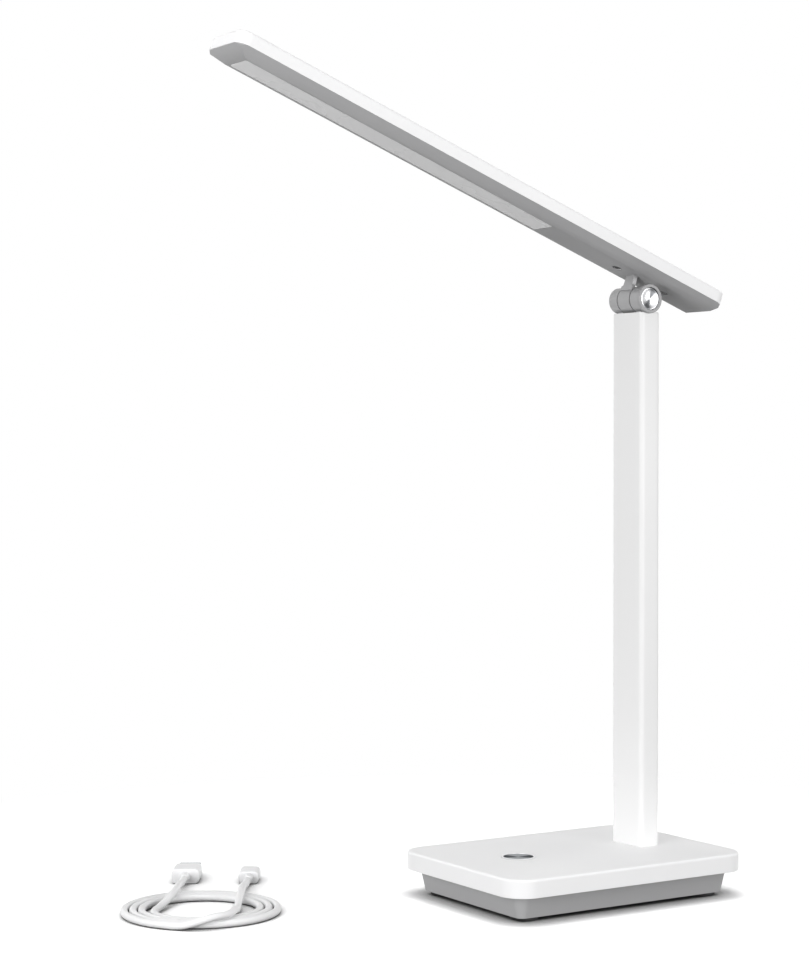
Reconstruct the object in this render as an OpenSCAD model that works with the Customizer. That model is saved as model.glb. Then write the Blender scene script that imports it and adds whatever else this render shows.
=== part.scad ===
// Folding desk lamp: a slim light bar on a friction hinge, a rectangular post and a low weighted base.
// Millimetres. +Z is up, the front is toward -Y, and the origin is on the table under the middle of the whole
// lamp, halfway between the light bar's tip and its rear end.

/* [Base] */
// Width of the base from side to side
base_w = 107.5; // [100:0.5:130]
// Depth of the base from front to back
base_d = 150; // [144:1:190]
// Height of the base's top face above the table
base_h = 23; // [22:0.5:30]
// Corner radius of the white base cover, seen from above
base_corner = 13.5; // [12:0.5:20]
// Height of the white cover's side band
band_h = 9.5; // [8.5:0.25:11]
// Wall of the cover and the tray
base_wall = 2.2; // [1.6:0.1:2.6]
// Radius along the cover's top edge
base_edge = 1.4; // [0.6:0.1:2]
// How far the grey tray stands in under the cover
tray_inset = 6.8; // [5:0.2:8]
// How much further in the tray is at its floor
tray_taper = 2.7; // [1:0.1:3.6]
// Gap between the table and the tray
foot_gap = 1.9; // [1:0.1:4]
// Diameter of a rubber foot
foot_d = 14.4; // [10:0.2:16]
// Thickness of the steel ballast plate
ballast_t = 4; // [2:0.5:5]

/* [Button] */
// Diameter of the round push button
button_d = 15.2; // [10:0.2:18]
// Width of the thin ring around the button
button_ring_w = 0.9; // [0.6:0.1:2]
// Distance of the button in front of the base's middle
button_front = 35.1; // [28:0.5:40]
// Travel of the button
button_travel = 0.8; // [0.3:0.1:1]

/* [Post] */
// Width of the post, along the hinge axis
post_w = 25.4; // [24:0.2:32]
// Depth of the post
post_d = 13; // [11:0.2:18]
// Wall of the post
post_wall = 1.6; // [1.2:0.1:2]
// Corner radius of the post
post_corner = 2.6; // [2:0.1:4]
// Height of the post's upper end above the table
post_top = 306.4; // [240:1:360]
// Distance of the post's middle in front of the base's rear edge
post_back = 33.3; // [29:0.1:37]

/* [Hinge] */
// Diameter of the hinge barrel
barrel_d = 13.8; // [13:0.2:16]
// Distance of the hinge axis in front of the post's middle
axis_front = 1.9; // [0:0.1:3]
// Width of the middle knuckle that turns with the head
knuckle_w = 9.7; // [8:0.1:11]
// Thickness of a friction washer
washer_t = 0.6; // [0.4:0.1:1]
// Diameter of the hinge bolt
bolt_d = 5; // [4:0.5:5.5]
// Width of the neck strap
neck_w = 7; // [5:0.5:8]
// Thickness of the neck strap
neck_t = 2.4; // [1.6:0.1:3]
// Diameter of the bezel at the hinge's right end
bezel_d = 15.4; // [15:0.2:17]
// Diameter of the metal disc in the bezel
disc_d = 12; // [10:0.2:12.6]

/* [Head] */
// Tilt of the head above level as it stands
head_tilt = 21.1; // [0:0.1:60]
// Reach of the head in front of the hinge axis
head_front = 271.2; // [220:1:320]
// Reach of the head behind the hinge axis
head_rear = 46.2; // [36:0.5:60]
// Width of the head
head_w = 34.7; // [33:0.5:44]
// Height of the white head cover
head_cover_h = 6.8; // [6:0.1:9]
// Height of the grey lower shell
head_shell_h = 3.8; // [3.4:0.1:5]
// Distance from the hinge axis to the head's underside
head_gap = 11.5; // [10.5:0.1:14]
// Corner radius of the head, seen from above
head_corner = 6.5; // [4:0.5:9]
// Slope width of the shell's long sides
side_slope = 6.8; // [4:0.2:7]
// Slope width at the front end
front_slope = 9; // [5:0.5:11]
// Slope width at the rear end
rear_slope = 2.4; // [1:0.2:4]
// Wall of the head's mouldings
head_wall = 1.5; // [1.2:0.1:1.8]
// Width of the diffuser seen from below
panel_w = 17; // [12:0.2:18]
// Distance from the hinge axis to the diffuser's rear end
panel_rear = 68; // [50:1:100]
// Distance of the diffuser's front end behind the head's front end
panel_front = 10.6; // [9.6:0.2:14]

/* [Cable] */
// Diameter of the charging cable
cable_d = 3.8; // [3:0.1:4]
// Radius at the coil's inner end
coil_start = 27; // [26:0.1:28]
// Step from one loop to the next
coil_pitch = 4.4; // [4.3:0.05:4.6]

/* [Hidden] */
$fn = 48;
slit = 0.2;
run_fit = 0.05;

// Base levels, from the table up
floor_t = 2;
floor_z = foot_gap + floor_t;
band_z = base_h - band_h;
flange_z = band_z + 0.3;
flange_t = 1.8;
seam_z = flange_z + flange_t;
lid_z = base_h - base_wall;
tray_w = base_w - 2 * tray_inset;
tray_d = base_d - 2 * tray_inset;
tray_corner = base_corner - tray_inset;
foot_seat = 0.8;
foot_edge = 1.2;
foot_x = tray_w / 2 - tray_taper - foot_d / 2 - foot_edge;
foot_y = tray_d / 2 - tray_taper - foot_d / 2 - foot_edge;
boss_d = 8.6;
case_screw_d = 3;
case_head_d = 5.8;
case_head_h = 2.2;
case_seat_z = foot_gap + foot_seat + 3.4;

// Post's place, ballast, battery and circuit board
post_y = base_d / 2 - post_back;
foot_plate_d = post_d + 14;
ballast_w = 72;
ballast_front = 44;
ballast_back = post_y - foot_plate_d / 2 - 2.2;
stake_d = 4;
stake_x = ballast_w / 2 - 3.6;
stake_ys = [-ballast_front + 5, ballast_back - 6];
pad_t = 0.8;
cell_w = 28.4;
cell_h = 9.4;
cell_gap = 0.6;
pad_z = floor_z + ballast_t;
cell_z = pad_z + pad_t;
board_w = 54;
board_d = 38;
board_t = 1.6;
board_y = -button_front + 2.1;
cell_front = board_y + board_d / 2 + 7;
cell_back = ballast_back - 3;
cell_d = cell_back - cell_front;
cell_y = (cell_back + cell_front) / 2;
pillar_d = 6;
pillar_x = board_w / 2 - 3.5;
pillar_y = board_d / 2 - 3.5;
board_screw_d = 2.2;

// Button stack, from the cover down to the board
cap_rise = 0.3;
cap_z = base_h + cap_rise;
cap_flange_t = 1;
cap_flange_top = lid_z - slit;
cap_flange_z = cap_flange_top - cap_flange_t;
switch_h = 3.4;
switch_w = 6.2;
switch_top = cap_flange_z - button_travel - 0.6;
board_z = switch_top - switch_h - board_t;
board_top = board_z + board_t;
plunger_d = 3.4;
plunger_z = switch_top - 1;
ring_seat_z = base_h - 1.4;
ring_d = button_d + 2 * slit + 2 * button_ring_w;
button_y = -button_front;

// Charging socket at the back
inlet_w = 9;
inlet_h = 3.3;
inlet_l = 7.4;
inlet_z = 8.9;
inlet_board_t = 1.2;
inlet_board_top = inlet_z - inlet_h / 2;
wall_at_inlet = tray_d / 2 - tray_taper * (flange_z - inlet_z) / (flange_z - foot_gap);
inlet_mouth = wall_at_inlet - 0.7;

// Post and its foot
pad_h = 3.5;
foot_plate_z = floor_z + pad_h;
foot_plate_t = 2.5;
foot_plate_w = post_w + 10.6;
post_z = foot_plate_z + foot_plate_t;
inner_w = post_w - 2 * post_wall;
inner_d = post_d - 2 * post_wall;
inner_corner = post_corner - 1.2;
sleeve_h = 16;
foot_screw_x = post_w / 2 + 1.3;
foot_screw_y = post_d / 2 + 3.5;
post_screw_z = post_z + 6;
post_screw_x = inner_w / 4;
wire_d = 2.4;

// Hinge, with its axis along X
axis_y = post_y - axis_front;
barrel_lift = 0.1;
axis_z = post_top + barrel_lift + barrel_d / 2;
face_gap = 0.05;
fork_x = knuckle_w / 2 + washer_t + 2 * face_gap;
fork_t = 3;
seat_x = fork_x + fork_t;
pocket_d = barrel_d - 3;
right_x = post_w / 2;
left_x = fork_x + 5.5;
cap_t = 1.7;
cap_round = 0.8;
nut_t = 2.7;
nut_flats = bolt_d * 1.6;
spring_t = 0.8;
bolt_head_t = 1.6;
bolt_head_d = pocket_d - 1.6;
bezel_x = right_x + face_gap;
bezel_t = 1.85;
disc_t = 0.85;
plug_h = 17;
web_x = min(inner_w / 2 - 1.4, left_x - 0.4);
saddle_screw_z = post_top - 9;

// Neck plate inside the head; distances along the head run from the axis toward the tip
neck_front = 6.6;
plate_t = 2;
plate_w = 15;
neck_screw_f = 16.5;
neck_screw_r = 17.4;
neck_screw_d = 2.6;
neck_head_d = 4.6;

// Head levels, measured from the hinge axis square to the head
shell_n = head_gap;
floor_n = shell_n + 1.6;
seam_n = shell_n + head_shell_h;
top_n = seam_n + head_cover_h;
roof_n = top_n - head_wall;
head_l = head_front + head_rear;
head_mid = (head_front - head_rear) / 2;
cover_edge = 1.3;
step = 0.3;
panel_tip = head_front - panel_front;
panel_l = panel_tip - panel_rear;
panel_mid = (panel_tip + panel_rear) / 2;
panel_flange_t = 0.8;
led_n = floor_n + panel_flange_t + 1;
led_chip_h = 0.7;
led_board_n = led_n + led_chip_h;
led_board_t = 1;
led_board_w = 14;
led_board_l = panel_l - 6;
spreader_n = led_board_n + led_board_t;
spreader_t = 1.2;
led_count = 24;
led_screw_s = [panel_rear + 7, panel_mid, panel_tip - 7];

// Cable on the table: its own flat frame, turned and set down to the left of the base
cable_at = [-62, -186];
cable_turn = 57;
coil_loops = 3.07;
coil_a0 = 225;
coil_rings = 24;
lead_rise = 6.1;
shell_a_w = 12;
shell_a_t = 4.5;
shell_a_l = 12;
grip_a = [15, 17, 8];
shell_c_w = 8.3;
shell_c_t = 2.5;
shell_c_l = 6.5;
grip_c = [11, 16.6, 6.6];
relief_l = 6.8;
relief_d = 5.4;
plug_x = 17;
plug_y = 68;

// Everything is laid out from the base's middle, then set back so that the origin is under the lamp's middle
tip_y = axis_y - head_front * cos(head_tilt) + seam_n * sin(head_tilt);
rear_y = axis_y + (head_rear - cover_edge) * cos(head_tilt) + (top_n - cover_edge) * sin(head_tilt) + cover_edge;
stand_y = -(min(tip_y, -base_d / 2) + max(rear_y, base_d / 2)) / 2;
echo(stand_y = stand_y, hinge_y = stand_y + axis_y, axis_z = axis_z, foot_x = foot_x, foot_y = foot_y);

white = "#f4f4f4";
grey = "#9b9b9c";
steel = "#c4c6c8";
dark = "#3a3a3c";

// Rounded rectangle with its middle at the origin
module round_rect(w, d, r) {
    square([w - 2 * r, d], center = true);
    square([w, d - 2 * r], center = true);
    for (sx = [-1, 1], sy = [-1, 1])
        translate([sx * (w / 2 - r), sy * (d / 2 - r)]) circle(r);
}

// Upright slab with rounded corners and a rounded top edge
module soft_slab(w, d, h, r, e) {
    difference() {
        linear_extrude(h) round_rect(w, d, r);
        for (s = [-1, 1]) {
            translate([s * w / 2, 0, h]) rotate([90, 0, 0])
                linear_extrude(d - 2 * r, center = true) edge_cut(e, -s);
            translate([0, s * d / 2, h]) rotate([90, 0, 90])
                linear_extrude(w - 2 * r, center = true) edge_cut(e, -s);
        }
        for (sx = [-1, 1], sy = [-1, 1])
            translate([sx * (w / 2 - r), sy * (d / 2 - r), h])
                rotate([0, 0, sx > 0 ? (sy > 0 ? 0 : 270) : (sy > 0 ? 90 : 180)])
                    rotate_extrude(angle = 90) translate([r, 0]) edge_cut(e, -1);
    }
}

// What a rounding of radius e takes off an upper outer corner at the origin, the body lying toward s
module edge_cut(e, s) {
    difference() {
        translate([s > 0 ? -1 : -e, -e]) square([e + 1, e + 1]);
        translate([s * e, -e]) circle(e);
    }
}

// Slab whose four sides lean in by t toward its bottom
module taper_slab(w, d, h, r, t) {
    for (sx = [-1, 1], sy = [-1, 1])
        translate([sx * (w / 2 - r), sy * (d / 2 - r), 0]) cylinder(h = h, r1 = r - t, r2 = r);
    rotate([90, 0, 0]) linear_extrude(d - 2 * r, center = true)
        polygon([[-w / 2 + t, 0], [w / 2 - t, 0], [w / 2, h], [-w / 2, h]]);
    rotate([90, 0, 90]) linear_extrude(w - 2 * r, center = true)
        polygon([[-d / 2 + t, 0], [d / 2 - t, 0], [d / 2, h], [-d / 2, h]]);
}

module four(x, y) {
    for (sx = [-1, 1], sy = [-1, 1]) translate([sx * x, sy * y, 0]) children();
}

// Cylinder between two heights
module rod(d, z0, z1) {
    translate([0, 0, z0]) cylinder(h = z1 - z0, d = d);
}

// Cylinder along X between two places on the hinge axis
module axle(d, x0, x1) {
    translate([0, axis_y, axis_z]) rotate([0, 90, 0]) rod(d, x0, x1);
}

module base_cover() {
    color(white) difference() {
        union() {
            difference() {
                translate([0, 0, band_z]) soft_slab(base_w, base_d, band_h, base_corner, base_edge);
                translate([0, 0, band_z - 1]) linear_extrude(lid_z - band_z + 1)
                    round_rect(base_w - 2 * base_wall, base_d - 2 * base_wall, base_corner - base_wall);
            }
            four(foot_x, foot_y) rod(boss_d - 0.6, seam_z, lid_z + 0.5);
            translate([0, post_y, lid_z - 1.6]) linear_extrude(2)
                round_rect(post_w + 6, post_d + 6, post_corner + 2);
        }
        four(foot_x, foot_y) rod(case_screw_d + 2 * run_fit, seam_z - 1, lid_z);
        translate([0, post_y, lid_z - 2]) linear_extrude(base_wall + 4)
            round_rect(post_w + 2 * slit, post_d + 2 * slit, post_corner + slit);
        translate([0, button_y, 0]) {
            rod(button_d + 2 * slit, lid_z - 1, base_h + 1);
            rod(ring_d + 2 * run_fit, ring_seat_z, base_h + 1);
        }
    }
}

module base_tray() {
    color(grey) difference() {
        union() {
            difference() {
                union() {
                    translate([0, 0, foot_gap])
                        taper_slab(tray_w, tray_d, flange_z - foot_gap, tray_corner, tray_taper);
                    translate([0, 0, flange_z]) linear_extrude(flange_t)
                        round_rect(base_w - 2 * base_wall - 2 * slit, base_d - 2 * base_wall - 2 * slit,
                            base_corner - base_wall - slit);
                }
                translate([0, 0, floor_z])
                    taper_slab(tray_w - 2 * base_wall, tray_d - 2 * base_wall, flange_z - floor_z + 0.01,
                        tray_corner - base_wall + 0.4, tray_taper);
                translate([0, 0, flange_z]) linear_extrude(flange_t + 1)
                    round_rect(tray_w - 2 * base_wall, tray_d - 2 * base_wall,
                        tray_corner - base_wall + 0.4);
            }
            four(foot_x, foot_y) rod(boss_d, floor_z - 0.5, seam_z);
            translate([0, board_y, 0]) four(pillar_x, pillar_y) rod(pillar_d, floor_z - 0.5, board_z);
            for (sx = [-1, 1], y = stake_ys) translate([sx * stake_x, y, 0]) {
                rod(stake_d, floor_z - 0.5, pad_z);
                rod(stake_d + 1.6, pad_z, pad_z + 0.9);
            }
            translate([0, post_y, 0]) four(foot_screw_x, foot_screw_y)
                rod(7, floor_z - 0.5, foot_plate_z);
            for (sx = [-1, 1]) translate([sx * 6.6, inlet_mouth - 8.4, 0]) {
                rod(4, floor_z - 0.5, inlet_board_top - inlet_board_t);
                rod(1.6, floor_z, inlet_board_top + 0.8);
            }
        }
        four(foot_x, foot_y) {
            rod(foot_d + 0.4, foot_gap - 1, foot_gap + foot_seat);
            rod(case_head_d + 0.5, foot_gap, case_seat_z);
            rod(case_screw_d + 0.4, foot_gap, seam_z + 1);
        }
        translate([0, board_y, 0]) four(pillar_x, pillar_y)
            rod(board_screw_d + 2 * run_fit, board_z - 6, board_z + 1);
        translate([0, post_y, 0]) four(foot_screw_x, foot_screw_y)
            rod(3 + 2 * run_fit, floor_z - 0.6, foot_plate_z + 1);
        translate([0, tray_d / 2, inlet_z]) rotate([90, 0, 0])
            linear_extrude(base_wall + 8, center = true) round_rect(inlet_w + 0.6, inlet_h + 0.6, 1.9);
    }
}

module rubber_feet() {
    color(dark) four(foot_x, foot_y) rotate_extrude()
        polygon([[0, 0], [foot_d / 2 - 0.7, 0], [foot_d / 2, 0.7], [foot_d / 2, foot_gap + foot_seat],
            [0, foot_gap + foot_seat]]);
}

// Pan-head screw standing on its head's underside at z0, its shank going up by l
module screw_up(d, head_d, head_h, z0, l) {
    rod(head_d, z0 - head_h, z0);
    rod(d, z0 - 0.2, z0 + l);
}

module screw_down(d, head_d, head_h, z0, l) {
    rod(head_d, z0, z0 + head_h);
    rod(d, z0 - l, z0 + 0.2);
}

module case_screws() {
    color(steel) four(foot_x, foot_y)
        screw_up(case_screw_d, case_head_d, case_head_h, case_seat_z, lid_z - case_seat_z - 1);
}

module ballast_plate() {
    color("#8d9093") difference() {
        translate([0, (ballast_back - ballast_front) / 2, floor_z]) linear_extrude(ballast_t)
            round_rect(ballast_w, ballast_front + ballast_back, 3);
        for (sx = [-1, 1], y = stake_ys) translate([sx * stake_x, y, 0])
            rod(stake_d + 0.4, floor_z - 1, pad_z + 1);
        translate([0, board_y, 0]) four(pillar_x, pillar_y) rod(pillar_d + 0.8, floor_z - 1, pad_z + 1);
    }
}

module battery_pad() {
    color("#56585a") translate([0, cell_y, pad_z]) linear_extrude(pad_t)
        square([2 * cell_w, cell_d - 4], center = true);
}

module battery_cells() {
    color("#b9bdc2") for (s = [-1, 1])
        translate([s * (cell_w + cell_gap) / 2, cell_y, cell_z + cell_h / 2]) rotate([90, 0, 0])
            linear_extrude(cell_d, center = true) round_rect(cell_w, cell_h, 2.5);
}

module main_board() {
    color("#2f6b4a") difference() {
        translate([0, board_y, board_z]) linear_extrude(board_t) round_rect(board_w, board_d, 2);
        translate([0, board_y, 0]) four(pillar_x, pillar_y)
            rod(board_screw_d + 0.4, board_z - 1, board_top + 1);
    }
}

// Chips, coil, capacitors and plug headers that stand on the board
module board_parts() {
    color(dark) translate([0, board_y, board_top]) {
        translate([-13, -6, 0]) linear_extrude(1.2) square([7, 7], center = true);
        translate([14, -5, 0]) linear_extrude(3) round_rect(7, 7, 1.5);
        for (y = [-8, 5]) translate([-20, y, 0]) cylinder(h = 4, d = 5);
        for (x = [-9, 9]) translate([x, board_d / 2 - 5, 0]) linear_extrude(4.2) difference() {
            square([9, 5], center = true);
            translate([0, 1]) square([7.4, 4], center = true);
        }
        for (x = [-4:2.4:4]) translate([x + 14, 5, 0]) linear_extrude(0.8) square([1.2, 2], center = true);
    }
}

module board_screws() {
    color(steel) translate([0, board_y, 0]) four(pillar_x, pillar_y)
        screw_down(board_screw_d, 4.2, 1.4, board_top, 6);
}

module button_switch() {
    color(dark) translate([0, button_y, board_top]) difference() {
        linear_extrude(switch_h) round_rect(switch_w, switch_w, 0.5);
        rod(plunger_d + 2 * run_fit, switch_h - 2 - button_travel, switch_h + 1);
    }
}

module switch_plunger() {
    color("#d9d9d9") translate([0, button_y, 0]) rod(plunger_d, plunger_z, cap_flange_z);
}

// Round key with a shallow dish in its face and a flange that holds it under the cover
module button_cap() {
    color("#cfd1d3") translate([0, button_y, 0]) rotate_extrude() polygon([[0, cap_flange_z],
        [button_d / 2 + 1.4, cap_flange_z], [button_d / 2 + 1.4, cap_flange_top],
        [button_d / 2, cap_flange_top], [button_d / 2, cap_z - 0.3], [button_d / 2 - 0.3, cap_z],
        [button_d / 2 - 1, cap_z], [0, cap_z - 0.25]]);
}

module button_ring() {
    color("#e4e5e6") translate([0, button_y, 0]) rotate_extrude() polygon([
        [button_d / 2 + slit, ring_seat_z], [ring_d / 2, ring_seat_z], [ring_d / 2, base_h + 0.1],
        [ring_d / 2 - 0.25, base_h + 0.35], [button_d / 2 + slit, base_h + 0.35]]);
}

module inlet_board() {
    color("#2f6b4a") difference() {
        translate([0, inlet_mouth - 6.6, inlet_board_top - inlet_board_t]) linear_extrude(inlet_board_t)
            square([18, 7.6], center = true);
        for (sx = [-1, 1]) translate([sx * 6.6, inlet_mouth - 8.4, 0]) rod(1.8, 0, 20);
    }
}

// Socket shell with its contact tongue
module usb_c_inlet() {
    color(steel) translate([0, inlet_mouth, inlet_z]) rotate([90, 0, 0]) {
        difference() {
            linear_extrude(inlet_l) round_rect(inlet_w, inlet_h, 1.6);
            translate([0, 0, -1]) linear_extrude(inlet_l) round_rect(inlet_w - 0.6, inlet_h - 0.6, 1.3);
        }
        translate([0, 0, inlet_l - 5.6]) linear_extrude(5) square([6.7, 0.7], center = true);
    }
}

// Bracket that carries the post: a plate on four pads and a sleeve that fills the tube
module post_foot() {
    color("#8d9093") translate([0, post_y, 0]) difference() {
        union() {
            translate([0, 0, foot_plate_z]) linear_extrude(foot_plate_t)
                round_rect(foot_plate_w, foot_plate_d, 3);
            translate([0, 0, post_z - 0.1]) linear_extrude(sleeve_h)
                round_rect(inner_w - 2 * slit, inner_d - 2 * slit, inner_corner);
        }
        rod(wire_d + 0.4, foot_plate_z - 1, post_z + sleeve_h + 1);
        four(foot_screw_x, foot_screw_y) rod(3.4, foot_plate_z - 1, post_z + 1);
        for (sx = [-1, 1]) translate([sx * post_screw_x, 0, post_screw_z]) rotate([-90, 0, 0])
            rod(3 + 2 * run_fit, 0, post_d);
    }
}

module foot_screws() {
    color(steel) translate([0, post_y, 0]) four(foot_screw_x, foot_screw_y)
        screw_down(3, 5.4, 2, post_z, foot_plate_t + pad_h - 0.2);
}

module post() {
    color(white) difference() {
        translate([0, post_y, post_z]) linear_extrude(post_top - post_z) difference() {
            round_rect(post_w, post_d, post_corner);
            round_rect(inner_w, inner_d, inner_corner);
        }
        for (sx = [-1, 1]) translate([sx * post_screw_x, post_y, post_screw_z]) rotate([-90, 0, 0])
            rod(3.3, post_d / 4, post_d);
        translate([0, post_y, saddle_screw_z]) rotate([-90, 0, 0]) rod(3.3, post_d / 4, post_d);
    }
}

// Pan-head screws that enter the post from its back
module back_screw(z, l) {
    translate([0, post_y + post_d / 2, z]) rotate([90, 0, 0]) {
        rod(3, -0.2, l);
        rod(5.4, -1.8, 0);
    }
}

module post_screws() {
    color(steel) for (sx = [-1, 1]) translate([sx * post_screw_x, 0, 0])
        back_screw(post_screw_z, post_d / 2);
}

module saddle_screw() {
    color(steel) back_screw(saddle_screw_z, post_d / 2 - wire_d / 2 - 0.8);
}

// Fork of the hinge: a plug in the post's end and two outer knuckles
module hinge_saddle() {
    color(grey) difference() {
        union() {
            translate([0, post_y, post_top - plug_h]) linear_extrude(plug_h - 0.4)
                round_rect(inner_w - 2 * slit, inner_d - 2 * slit, inner_corner);
            translate([0, 0, post_top - 1]) linear_extrude(barrel_d / 2) {
                for (side = [-1, 1]) translate([side * (fork_x + web_x) / 2, axis_y + 0.4])
                    square([web_x - fork_x, 6], center = true);
            }
            axle(barrel_d, fork_x, right_x);
            axle(barrel_d, -left_x, -fork_x);
        }
        axle(bolt_d + 2 * run_fit, -left_x - 1, right_x + 1);
        axle(pocket_d, seat_x, right_x + 1);
        axle(pocket_d, -left_x - 1, -seat_x);
        translate([0, post_y, 0]) rod(wire_d + 0.4, post_top - plug_h - 1, post_top + 1);
        translate([0, post_y, saddle_screw_z]) rotate([-90, 0, 0]) rod(3 + 2 * run_fit, -0.5, post_d);
    }
}

// Lays out what belongs to the head: -Y runs toward the tip, Z is square to the head
module at_head() {
    translate([0, axis_y, axis_z]) rotate([-head_tilt, 0, 0]) children();
}

// Middle knuckle, neck strap with flared root, and the plate that is screwed inside the head
module hinge_knuckle() {
    color(grey) at_head() {
        difference() {
            union() {
                rotate([0, 90, 0]) rod(barrel_d, -knuckle_w / 2, knuckle_w / 2);
                translate([0, -neck_front + neck_t, 0]) rotate([90, 0, 0]) linear_extrude(neck_t)
                    neck_outline();
            }
            rotate([0, 90, 0]) rod(bolt_d + 2 * run_fit, -knuckle_w, knuckle_w);
        }
        difference() {
            translate([0, -(neck_screw_f - neck_screw_r) / 2, floor_n]) linear_extrude(plate_t)
                round_rect(plate_w, neck_screw_f + neck_screw_r + 9, 2);
            for (s = [neck_screw_f, -neck_screw_r]) translate([0, -s, 0])
                rod(neck_screw_d + 2 * run_fit, floor_n - 1, floor_n + plate_t + 1);
        }
    }
}

module neck_outline() {
    flare = (knuckle_w - neck_w) / 2;
    root = barrel_d / 2 - 1.5;
    translate([-neck_w / 2, 3]) square([neck_w, floor_n + 0.5 - 3]);
    difference() {
        translate([-knuckle_w / 2, 3]) square([knuckle_w, root + flare - 3]);
        for (s = [-1, 1]) translate([s * knuckle_w / 2, root + flare]) circle(flare);
    }
}

module friction_washers() {
    color(steel) for (s = [-1, 1]) difference() {
        axle(barrel_d - 2, s * (fork_x - face_gap - washer_t / 2) - washer_t / 2,
            s * (fork_x - face_gap - washer_t / 2) + washer_t / 2);
        axle(bolt_d + 0.2, -fork_x - 1, fork_x + 1);
    }
}

module hinge_bolt() {
    color(steel) {
        axle(bolt_d, -seat_x - 0.2, seat_x + spring_t + nut_t + 0.4);
        axle(bolt_head_d, -seat_x - bolt_head_t, -seat_x);
    }
}

// Two cupped spring washers that keep the hinge tight
module spring_washers() {
    color(steel) for (i = [0, 1]) translate([seat_x + i * spring_t / 2, axis_y, axis_z])
        rotate([0, 90, 0]) difference() {
            cylinder(h = spring_t / 2, d = pocket_d - 1.4 - i);
            translate([0, 0, -1]) cylinder(h = spring_t + 2, d = bolt_d + 0.2);
        }
}

module hinge_nut() {
    color(steel) translate([seat_x + spring_t, axis_y, axis_z]) rotate([0, 90, 0]) difference() {
        cylinder(h = nut_t, d = nut_flats / cos(30), $fn = 6);
        translate([0, 0, -1]) cylinder(h = nut_t + 2, d = bolt_d + 2 * run_fit);
    }
}

// Plain cap on the left end, with a rounded rim and a spigot in the pocket
module hinge_cap() {
    color(grey) translate([-left_x, axis_y, axis_z]) rotate([0, -90, 0]) {
        rotate_extrude() {
            square([barrel_d / 2, cap_t - cap_round]);
            square([barrel_d / 2 - cap_round, cap_t]);
            translate([barrel_d / 2 - cap_round, cap_t - cap_round]) circle(cap_round);
        }
        translate([0, 0, -0.7]) cylinder(h = 0.8, d = pocket_d - 0.2);
    }
}

// Bezel on the right end: a cup for the disc with a spigot in the pocket
module hinge_bezel() {
    color("#b9babb") translate([bezel_x, axis_y, axis_z]) rotate([0, 90, 0]) difference() {
        rotate_extrude() {
            translate([nut_flats / 2 + 0.75, -0.8]) square([pocket_d / 2 - nut_flats / 2 - 0.85, 1]);
            translate([nut_flats / 2 + 0.75, 0]) difference() {
                square([bezel_d / 2 - nut_flats / 2 - 0.75, bezel_t]);
                translate([bezel_d / 2 - nut_flats / 2 - 0.75, bezel_t]) rotate(180) edge_round(0.4);
            }
        }
        rod(disc_d + 0.1, bezel_t - disc_t - 0.45, bezel_t + 1);
    }
}

// What a small rounding takes off a corner at the origin that lies toward +X and +Y
module edge_round(r) {
    difference() {
        square([r + 0.01, r + 0.01]);
        translate([r, r]) circle(r);
    }
}

module hinge_disc() {
    color("#dcdddf") translate([bezel_x + bezel_t - disc_t - 0.45, axis_y, axis_z]) rotate([0, 90, 0])
        rotate_extrude() polygon([[0, 0], [disc_d / 2, 0], [disc_d / 2, disc_t - 0.2],
            [disc_d / 2 - 0.2, disc_t], [0, disc_t - 0.25]]);
}

// Outer form of the grey shell, raised by up: sloping sides, a long slope in front, a steep rear end
module shell_form(up, cut) {
    w0 = head_w / 2 - step - side_slope;
    w1 = head_w / 2 - step;
    n0 = shell_n + up;
    n1 = seam_n + up;
    f0 = head_front - step - front_slope;
    f1 = head_front - step;
    r0 = head_rear - step - rear_slope;
    r1 = head_rear - step;
    intersection() {
        rotate([90, 0, 0]) linear_extrude(2 * head_l, center = true)
            polygon([[-w0, n0], [w0, n0], [w1, n1], [-w1, n1]]);
        rotate([90, 0, 90]) linear_extrude(head_w, center = true)
            polygon([[r0, n0], [-f0, n0], [-f1, n1], [r1, n1]]);
        translate([0, -head_mid, n0]) linear_extrude(head_shell_h)
            round_rect(head_w - 2 * step - 2 * cut, head_l - 2 * step - 2 * cut, head_corner - step);
    }
}

module head_shell() {
    lip = head_wall + 0.15;
    slope = side_slope * 1.6 / head_shell_h;
    color(grey) at_head() difference() {
        union() {
            shell_form(0, 0);
            translate([0, -head_mid, seam_n - 0.4]) linear_extrude(2)
                round_rect(head_w - 2 * lip, head_l - 2 * lip, head_corner - lip);
        }
        intersection() {
            shell_form(1.6, 1.4);
            translate([0, -head_mid, seam_n - 1]) cube([head_w, head_l, 2 + 2 * head_shell_h], center = true);
        }
        translate([0, -head_mid, seam_n - 0.4 - 0.6]) linear_extrude(4)
            round_rect(head_w - 2 * step - 2 * slope - 0.4, head_l - 4 * lip - 4.4, head_corner - 2 * lip);
        translate([0, -panel_mid, shell_n - 1]) linear_extrude(head_shell_h)
            round_rect(panel_w, panel_l, 1.5);
        translate([0, -neck_front + neck_t / 2, shell_n - 1]) linear_extrude(4)
            square([neck_w + 2 * slit, neck_t + 2 * slit], center = true);
        for (s = [neck_screw_f, -neck_screw_r]) translate([0, -s, 0]) {
            rod(neck_head_d + 0.3, shell_n - 1, shell_n + 0.9);
            rod(neck_screw_d + 0.2, shell_n - 1, floor_n + 1);
        }
    }
}

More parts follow.
